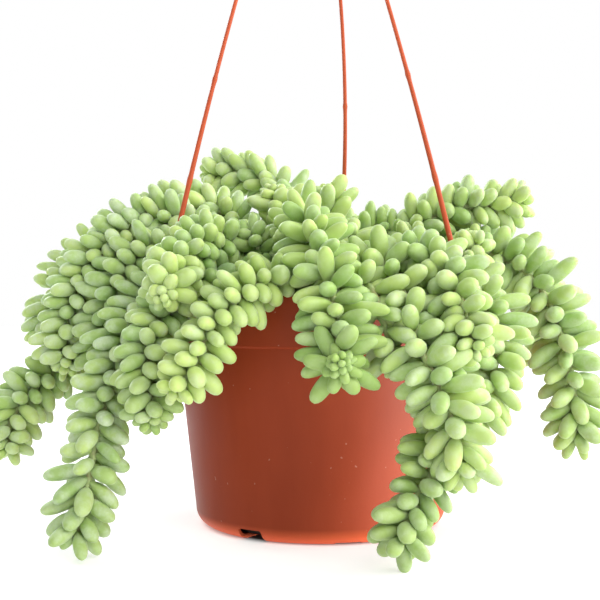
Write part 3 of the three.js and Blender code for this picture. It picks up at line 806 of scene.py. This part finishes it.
def web_solid(degrees):
    """The rib under a lug."""
    start = RIM_RADIUS - WALL / 2
    stop = LUG_RADIUS - KNOB_RADIUS - GAP
    top = LUG_TOP - LUG_THICKNESS
    outline = [(start, top - WEB_HEIGHT), (stop, top - 1), (stop, top + 1), (start, top + 1)]
    flat, faces = prism(outline, -WEB_THICKNESS / 2, WEB_THICKNESS / 2)
    upright = [(across, out, height) for out, height, across in flat]
    return add_mesh("web", turned_about_z(upright, degrees), faces)


def hole_solid(degrees):
    """The hole in a lug."""
    ring = circle(0, LUG_RADIUS, STRAND_RADIUS + GAP + 0.2, 24)
    bottom = LUG_TOP - 2 * LUG_THICKNESS
    return upright_prism("hole", ring, bottom, LUG_TOP + LUG_THICKNESS, degrees)


def add_pot(material):
    pot = add_mesh("nursery_pot", *turned(pot_outline(), POT_SIDES))
    angles = [angle for angle, _ in STRANDS.values()]
    combine(pot, [solid(a) for a in angles for solid in (lug_solid, web_solid)], "UNION")
    cuts = [hole_solid(angle) for angle in angles]
    for i in range(NOTCHES):
        height = NOTCH_HEIGHTS[i % len(NOTCH_HEIGHTS)]
        cuts.append(notch_solid(NOTCH_FIRST + 360 * i / NOTCHES, height))
    combine(pot, cuts, "DIFFERENCE")
    sharpen(pot, 32)
    finish(pot, [material], "pot")
    return pot


# Soil

SOIL_SIDES = 120
SOIL_RINGS = 28
SOIL_EDGE = 1.5  # width of the steep edge by the wall
ROUGH_RADIUS = 70  # how far from the middle the soil is uneven
CRUMBS = 260
CRUMB_SEED = 77
CRUMB_REACH = 68
CRUMB_SIZES = (0.7, 2.1)  # radii


def soil_outline():
    """Half a section of the soil, from the axis along the pot's floor and wall to its top."""
    inset = WALL + GAP
    edge = RIM_RADIUS - WALL - GAP
    top = []
    for t in np.linspace(0, 1, SOIL_RINGS)[1:]:
        radius = edge - SOIL_EDGE * t - (edge - SOIL_EDGE) * t**1.1 * 0.985
        top.append((radius, SOIL_TOP - SOIL_SHOULDER * (1 - t) ** 2))
    return [
        (0, FLOOR + GAP),
        (BASE_RADIUS - 1, FLOOR + GAP),
        (BASE_RADIUS + FOOT_CORNER - inset - 1, FOOT_CORNER + 2),
        (WALL_TOP_RADIUS - inset, BAND_HEIGHT),
        (edge, BAND_HEIGHT + 2 * WALL),
        *top,
        (0, SOIL_TOP),
    ]


def add_soil(material):
    """Uneven peat with loose crumbs on it."""
    rng = np.random.default_rng(CRUMB_SEED)
    vertices, faces = turned(soil_outline(), SOIL_SIDES)
    for vertex in vertices:
        on_top = vertex[2] > SOIL_TOP - SOIL_SHOULDER - 1
        if on_top and math.hypot(vertex[0], vertex[1]) < ROUGH_RADIUS:
            spot = Vector(vertex)
            vertex[2] += 1.4 * noise.noise(spot * 0.08) + 0.9 * noise.noise(spot * 0.3) - 0.9
    vertices, faces = vertices.tolist(), list(faces)
    crumb, crumb_faces = turned([(0, -1), (0.8, -0.6), (1, 0.1), (0.7, 0.7), (0, 1)], 7)
    for _ in range(CRUMBS):
        distance = CRUMB_REACH * math.sqrt(rng.random())
        angle = rng.random() * 2 * math.pi
        size = rng.uniform(*CRUMB_SIZES) * rng.uniform(0.6, 1.0, 3)
        centre = (distance * math.cos(angle), distance * math.sin(angle), SOIL_TOP - 0.8)
        offset = len(vertices)
        bumps = rng.uniform(0.8, 1.2, (len(crumb), 1))
        vertices.extend((crumb * bumps * size + centre).tolist())
        faces.extend(tuple(v + offset for v in face) for face in crumb_faces)
    soil = add_mesh("peat_surface", vertices, faces)
    finish(soil, [material], "soil")


# Hanger

ROD_SIDES = 16
PIP_HEIGHTS = (173, 224)  # small moulding marks on each strand
PIP_SIZE = 0.45
PIP_WIDTH = 1.1
HUB_COLLAR = 6  # height of the hub's round foot


def add_strand(name, angle, sideways, material):
    """A moulded strand with the knob that clips under its lug."""
    knob_top = LUG_TOP - LUG_THICKNESS - GAP
    knob_bottom = knob_top - KNOB_HEIGHT
    foot = [
        (knob_bottom, 0.9),
        (knob_bottom + 0.3, KNOB_RADIUS * 0.75),
        (knob_bottom + 1, KNOB_RADIUS),
        (knob_top - 0.7, KNOB_RADIUS),
        (knob_top - 0.1, KNOB_RADIUS - 0.6),
        (knob_top, STRAND_RADIUS),
    ]
    line = strand_line(angle, sideways, 130)
    top = line[-1:] * (1, 1, 0) + (0, 0, HUB_BOTTOM + HUB_SOCKET_DEPTH - GAP)
    points = np.vstack([[compass(angle, LUG_RADIUS, z) for z, _ in foot], line, top])
    radii = np.array([r for _, r in foot] + [STRAND_RADIUS] * (len(line) + 1))
    low = 1 - smoothstep((points[:, 2] - LUG_TOP) / STRAND_SWELL_HEIGHT)
    radii[len(foot):] += STRAND_SWELL * low[len(foot):] - STRAND_SWELL / 2
    for height in PIP_HEIGHTS:
        radii += PIP_SIZE * np.exp(-(((points[:, 2] - height) / PIP_WIDTH) ** 2))
    strand = add_mesh("rod_" + name, *tube(points, radii, ROD_SIDES))
    sharpen(strand, 50)
    finish(strand, [material], name)


def hook_line():
    """The hook's centre line, from inside the hub up and round."""
    neck = np.array([HUB_X, HUB_Y, HUB_TOP + HOOK_NECK])
    centre = neck + (HOOK_RADIUS, 0, 0)
    angles = np.radians(180 - np.linspace(0, HOOK_SWEEP, 40))
    bend = centre + HOOK_RADIUS * np.stack([np.cos(angles), 0 * angles, np.sin(angles)], axis=1)
    straight = [neck - (0, 0, HOOK_NECK + HOOK_WIRE * t) for t in (1, 0.5, 0)]
    return np.vstack([straight, bend])


def add_hook(material):
    """The round hook on its hub, with a socket for each strand."""
    line = hook_line()
    radii = np.full(len(line), float(HOOK_WIRE))
    radii[-1] = HOOK_WIRE * 0.6
    hook = add_mesh("ceiling_hook", *tube(line, radii, ROD_SIDES))
    outline = [
        (0, HUB_BOTTOM),
        *arc(HUB_RADIUS - 1, HUB_BOTTOM + 1, 1, -90, 0, 4),
        (HUB_RADIUS, HUB_BOTTOM + HUB_COLLAR),
        (HUB_RADIUS - 0.4, HUB_BOTTOM + HUB_COLLAR + 0.8),
        (HOOK_WIRE + 1, HUB_TOP - 0.4),
        (HOOK_WIRE + 0.4, HUB_TOP),
        (0, HUB_TOP),
    ]
    vertices, faces = turned(outline, 48)
    hub = add_mesh("hub", vertices + (HUB_X, HUB_Y, 0), faces)
    combine(hook, [hub], "UNION")
    sockets = []
    for angle, _ in STRANDS.values():
        x, y, _ = compass(angle, HUB_SPREAD, 0)
        ring = circle(HUB_X + x, HUB_Y + y, STRAND_RADIUS + GAP, 16)
        top = HUB_BOTTOM + HUB_SOCKET_DEPTH
        sockets.append(upright_prism("socket", ring, HUB_BOTTOM - 2, top))
    combine(hook, sockets, "DIFFERENCE")
    sharpen(hook, 40)
    finish(hook, [material], "hook")


# Materials

LEAF_GREEN = (0.29, 0.47, 0.10, 1)
LEAF_LIGHT = (0.49, 0.63, 0.17, 1)
LEAF_YOUNG = (0.56, 0.68, 0.19, 1)
# the deeper green painted in as shade, and for older leaves near the soil
LEAF_SHADED_GREEN = (0.12, 0.27, 0.035, 1)
LEAF_BASE = (0.60, 0.70, 0.30, 1)
LEAF_BLOOM = (0.57, 0.67, 0.47, 1)
STEM_GREEN = (0.50, 0.60, 0.27, 1)
STEM_SCAR = (0.42, 0.38, 0.20, 1)
PEAT_DARK = (0.018, 0.012, 0.008, 1)
PEAT_FIBRE = (0.09, 0.055, 0.032, 1)
PEAT_PALE = (0.13, 0.085, 0.05, 1)
DUST = (0.62, 0.36, 0.26, 1)
# body, faded streaks, and a brighter foot colour that paints in light from the floor
POT_COLOURS = ((0.31, 0.046, 0.015, 1), (0.35, 0.054, 0.019, 1), (0.92, 0.165, 0.062, 1))
HANGER_COLOURS = ((0.42, 0.075, 0.03, 1), (0.47, 0.09, 0.037, 1), (0.42, 0.075, 0.03, 1))


class Nodes:
    """The node tree of a material or a world, with a short way to add and link nodes."""

    def __init__(self, owner, shader="Principled BSDF"):
        owner.use_nodes = True
        self.owner = owner
        self.tree = owner.node_tree
        self.shader = self.tree.nodes[shader]

    def add(self, kind, inputs=None, **settings):
        node = self.tree.nodes.new(kind)
        for key, value in settings.items():
            setattr(node, key, value)
        for key, value in (inputs or {}).items():
            self.plug(node.inputs[key], value)
        return node

    def plug(self, socket, value):
        if isinstance(value, bpy.types.NodeSocket):
            self.tree.links.new(value, socket)
        else:
            socket.default_value = value

    def attribute(self, name):
        return self.add("ShaderNodeAttribute", attribute_name=name).outputs["Fac"]

    def place(self):
        return self.add("ShaderNodeTexCoord").outputs["Object"]

    def noise(self, vector, scale, detail=2, roughness=0.5):
        inputs = {"Vector": vector, "Scale": scale, "Detail": detail, "Roughness": roughness}
        return self.add("ShaderNodeTexNoise", inputs).outputs["Fac"]

    def math(self, operation, a, b=0, clamp=False):
        settings = dict(operation=operation, use_clamp=clamp)
        return self.add("ShaderNodeMath", {0: a, 1: b}, **settings).outputs[0]

    def average(self, a, b):
        return self.math("ADD", self.math("MULTIPLY", a, 0.5), self.math("MULTIPLY", b, 0.5))

    def remap(self, value, low, high, to_low=0, to_high=1):
        inputs = {0: value, 1: low, 2: high, 3: to_low, 4: to_high}
        return self.add("ShaderNodeMapRange", inputs).outputs["Result"]

    def mix(self, factor, a, b):
        inputs = {0: factor, 6: a, 7: b}
        return self.add("ShaderNodeMix", inputs, data_type="RGBA").outputs[2]

    def bump(self, height, strength, distance):
        inputs = {"Height": height, "Strength": strength, "Distance": distance}
        self.set(Normal=self.add("ShaderNodeBump", inputs).outputs["Normal"])

    def set(self, **inputs):
        for key, value in inputs.items():
            self.plug(self.shader.inputs[key.replace("_", " ")], value)


def leaf_material():
    """Plump leaf under a powdery bloom, with the bloom rubbed off in patches, and a deeper green with less
    bloom painted in as shade.
    """
    nodes = Nodes(bpy.data.materials.new("leaf"))
    place = nodes.place()
    along = nodes.attribute("along")
    tone, age, seed, bloom, deep_green_and_shade = [nodes.attribute(look) for look in LEAF_LOOKS]
    spread = nodes.add("ShaderNodeCombineXYZ", {"X": seed, "Y": tone, "Z": seed}).outputs[0]
    own_place = nodes.add("ShaderNodeVectorMath", {0: place, 1: spread}, operation="ADD").outputs[0]

    flesh = nodes.mix(tone, LEAF_GREEN, LEAF_LIGHT)
    flesh = nodes.mix(nodes.remap(age, 0, 0.5, 0.42, 0), flesh, LEAF_YOUNG)
    # painted shade: a deeper green where the leaf's shade value is high
    flesh = nodes.mix(deep_green_and_shade, flesh, LEAF_SHADED_GREEN)
    flesh = nodes.mix(nodes.remap(along, 0, 0.35, 0.35, 0), flesh, LEAF_BASE)

    clouds = nodes.noise(own_place, 140, 3, 0.6)
    powder = nodes.noise(place, 900, 4, 0.7)
    cover = nodes.remap(clouds, 0.40, 0.62, 0.15, 0.62)
    cover = nodes.math("MULTIPLY", cover, nodes.remap(powder, 0.3, 0.7, 0.75, 1.15))
    cover = nodes.math("MULTIPLY", cover, nodes.remap(bloom, 0, 1, 0.35, 1.5), clamp=True)
    # less bloom where the shade is painted in
    cover = nodes.math("MULTIPLY", cover, nodes.remap(deep_green_and_shade, 0, 1, 1, 0.3))
    colour = nodes.mix(cover, flesh, LEAF_BLOOM)

    speckle = nodes.noise(place, 2600, 2, 0.5)
    nodes.bump(nodes.average(powder, speckle), 0.18, 0.0004)
    nodes.set(
        Base_Color=colour,
        Roughness=nodes.remap(cover, 0.1, 0.6, 0.42, 0.62),
        Subsurface_Weight=0.3,
        Subsurface_Radius=(1, 1.2, 0.35),
        Subsurface_Scale=0.0022,
        Specular_IOR_Level=0.35,
        Sheen_Weight=0.2,
        Sheen_Roughness=0.5,
        Sheen_Tint=(0.93, 1, 0.86, 1),
    )
    return nodes.owner


def stem_material():
    """Pale green stem with browner leaf scars."""
    nodes = Nodes(bpy.data.materials.new("stem"))
    place = nodes.place()
    blotches = nodes.noise(place, 260, 3, 0.6)
    fibres = nodes.noise(place, 1400, 3, 0.6)
    colour = nodes.mix(nodes.remap(blotches, 0.45, 0.7), STEM_GREEN, STEM_SCAR)
    nodes.bump(fibres, 0.3, 0.0004)
    nodes.set(
        Base_Color=colour,
        Roughness=nodes.remap(fibres, 0.3, 0.7, 0.5, 0.7),
        Subsurface_Weight=0.2,
        Subsurface_Radius=(1, 1, 0.4),
        Subsurface_Scale=0.001,
    )
    return nodes.owner


def plastic_material(name, body, faded, foot, roughness, grain):
    """Moulded plastic: faint flow streaks, dust specks, an uneven satin, and a foot painted brighter as if
    lit from below by the floor.
    """
    nodes = Nodes(bpy.data.materials.new(name))
    place = nodes.place()
    stretched = nodes.add("ShaderNodeMapping", {"Vector": place, "Scale": (1, 1, 0.12)})
    streaks = nodes.noise(stretched.outputs[0], 90, 4, 0.6)
    clouds = nodes.noise(place, 22, 3, 0.55)
    specks = nodes.remap(nodes.noise(place, 420, 1, 0.4), 0.77, 0.80)
    colour = nodes.mix(nodes.remap(nodes.average(streaks, clouds), 0.35, 0.65), body, faded)
    colour = nodes.mix(nodes.math("MULTIPLY", specks, 0.4), colour, DUST)
    height = nodes.add("ShaderNodeSeparateXYZ", {"Vector": place}).outputs["Z"]
    # painted light: the lowest 8 mm are mixed towards the foot colour, as if lit from the floor
    colour = nodes.mix(nodes.remap(height, 0, 0.008, 0.95, 0), colour, foot)
    peel = nodes.noise(place, grain, 2, 0.5)
    nodes.bump(peel, 0.12, 0.0003)
    nodes.set(
        Base_Color=colour,
        Roughness=nodes.remap(clouds, 0.3, 0.7, roughness - 0.05, roughness + 0.07),
        Specular_IOR_Level=0.09,
    )
    return nodes.owner


def soil_material():
    """Dark peat with lighter fibre and a few pale crumbs."""
    nodes = Nodes(bpy.data.materials.new("peat"))
    place = nodes.place()
    crumbs = nodes.add("ShaderNodeTexVoronoi", {"Vector": place, "Scale": 420})
    fibres = nodes.noise(place, 700, 5, 0.7)
    clouds = nodes.noise(place, 60, 3, 0.6)
    colour = nodes.mix(nodes.remap(fibres, 0.35, 0.7), PEAT_DARK, PEAT_FIBRE)
    colour = nodes.mix(nodes.remap(clouds, 0.55, 0.75, 0, 0.5), colour, PEAT_PALE)
    nodes.bump(nodes.math("ADD", fibres, crumbs.outputs["Distance"]), 0.8, 0.0012)
    nodes.set(Base_Color=colour, Roughness=nodes.remap(fibres, 0.3, 0.7, 0.85, 1))
    return nodes.owner


def floor_material():
    """Pale studio floor that glows as painted light, with a painted contact shadow where the glow fades
    out under and around the pot.
    """
    nodes = Nodes(bpy.data.materials.new("studio_floor"))
    tone = nodes.noise(nodes.place(), 3, 2, 0.5)
    length = nodes.add("ShaderNodeVectorMath", {0: nodes.place()}, operation="LENGTH")
    from_middle = length.outputs["Value"]
    # painted shadow: no glow under the pot, fading in around its foot
    glow = nodes.remap(from_middle, *PAINTED_SHADOW_EDGES, 0, FLOOR_GLOW)
    far_glow = nodes.remap(from_middle, *FAR_GLOW_STARTS, 0, FAR_GLOW)
    nodes.set(
        Base_Color=nodes.mix(tone, (0.60, 0.60, 0.605, 1), (0.62, 0.62, 0.62, 1)),
        Roughness=0.6,
        Specular_IOR_Level=0.2,
        Emission_Color=(1, 1, 1, 1),
        Emission_Strength=nodes.math("ADD", glow, far_glow),
    )
    return nodes.owner


# Studio

CAMERA_PLACE = (-0.0105, -0.560, 0.114)
CAMERA_LENS = 64.7
CAMERA_SENSOR = 36
SKY_LIGHT_FROM = (0.35, 0.5, 0.8)
SKY_DIM = 0.2
SKY_BRIGHT = 1.08
SKY_TINT = (0.94, 0.98, 1.06, 1)
FLOOR_SIZE = 8
FLOOR_GLOW = 0.56  # painted light: the floor glows, so that it stays white and lights the pot's foot
PAINTED_SHADOW_EDGES = (0.0545, 0.062)  # distances from the pot's middle over which the glow comes in, leaving a painted contact shadow under and around the pot
FAR_GLOW = 0.25  # painted light added far away, where the lamps don't reach
FAR_GLOW_STARTS = (0.3, 1)
WARM = (1, 0.97, 0.92)
COOL = (0.94, 0.98, 1)
LIGHTS = {
    "key": ((1.3, 0.3, 0.75), (0.8, 0.8), 15.5, WARM),
    "side": ((1.15, -0.75, 0.4), (1.4, 1.2), 15.5, WARM),
    "rim": ((-0.8, 0.9, 0.75), (0.8, 0.8), 17, COOL),
    "front": ((0.3, -1.1, 1), (0.9, 0.9), 9.5, WARM),
    "pot_side": ((1.14, -0.16, 0.12), (0.5, 0.5), 28, WARM),
    "pot_gloss": ((1, -0.58, 0.12), (0.9, 0.9), 35, COOL),
}  # each soft light's place, size, power and colour
AIM = (0, 0, 0.1)


def add_camera():
    """The camera in front of the pot, level, and a little left of its middle."""
    data = bpy.data.cameras.new("camera")
    data.lens = CAMERA_LENS
    data.sensor_width = CAMERA_SENSOR
    data.clip_start = 0.01
    camera = bpy.data.objects.new("camera", data)
    camera.location = CAMERA_PLACE
    camera.rotation_euler = (math.radians(90), 0, 0)
    bpy.context.scene.collection.objects.link(camera)
    bpy.context.scene.camera = camera


def add_light(name):
    place, size, power, colour = LIGHTS[name]
    data = bpy.data.lights.new(name, "AREA")
    data.shape = "RECTANGLE"
    data.size, data.size_y = size
    data.energy = power
    data.color = colour
    light = bpy.data.objects.new(name, data)
    light.location = place
    aim = Vector(AIM) - Vector(place)
    light.rotation_euler = aim.to_track_quat("-Z", "Y").to_euler()
    bpy.context.scene.collection.objects.link(light)
    return light


def add_world():
    """A white backdrop whose light comes mostly from above, behind and the right."""
    nodes = Nodes(bpy.data.worlds.new("studio"), "Background")
    direction = nodes.add("ShaderNodeTexCoord").outputs["Generated"]
    bright_side = Vector(SKY_LIGHT_FROM).normalized()
    inputs = {0: direction, 1: bright_side}
    towards = nodes.add("ShaderNodeVectorMath", inputs, operation="DOT_PRODUCT")
    light = nodes.remap(towards.outputs["Value"], 0, 1, SKY_DIM, SKY_BRIGHT)
    seen = nodes.add("ShaderNodeLightPath").outputs["Is Camera Ray"]
    strength = nodes.add("ShaderNodeMix", {0: seen, 2: light, 3: 1})
    nodes.set(Strength=strength.outputs[0], Color=nodes.mix(seen, SKY_TINT, (1, 1, 1, 1)))
    bpy.context.scene.world = nodes.owner


def add_floor():
    half = FLOOR_SIZE / 2 / MM
    corners = [(-half, -half, 0), (half, -half, 0), (half, half, 0), (-half, half, 0)]
    floor = add_mesh("floor", corners, [(0, 1, 2, 3)])
    floor.data.materials.append(floor_material())


def light_pot(pot, plant_lights):
    """Two soft lights shine on the pot alone, and some of the plant's lights spare it."""
    side = add_light("pot_side")
    side.data.cycles.max_bounces = 0
    gloss = add_light("pot_gloss")
    gloss.visible_diffuse = False
    lit = bpy.data.collections.new("lit_by_pot_lights")
    lit.objects.link(pot)
    for light in (side, gloss):
        light.light_linking.receiver_collection = lit
        light.light_linking.blocker_collection = lit
    spared = bpy.data.collections.new("spared_by_plant_lights")
    spared.objects.link(pot)
    spared.collection_objects[0].light_linking.link_state = "EXCLUDE"
    for light in plant_lights:
        light.light_linking.receiver_collection = spared


def add_studio():
    """The camera, backdrop, floor and main lights, of which it returns those to spare the pot."""
    bpy.context.scene.view_settings.view_transform = "Standard"
    add_camera()
    add_world()
    add_floor()
    add_light("key")
    return [add_light(name) for name in ("side", "rim", "front")]


plant_lights = add_studio()
pot = add_pot(plastic_material("pot_plastic", *POT_COLOURS, 0.42, 900))
light_pot(pot, plant_lights)
hanger = plastic_material("hanger_plastic", *HANGER_COLOURS, 0.36, 1200)
for strand_name, (strand_angle, strand_sideways) in STRANDS.items():
    add_strand(strand_name, strand_angle, strand_sideways, hanger)
add_hook(hanger)
add_soil(soil_material())
add_shoots([leaf_material(), stem_material()])
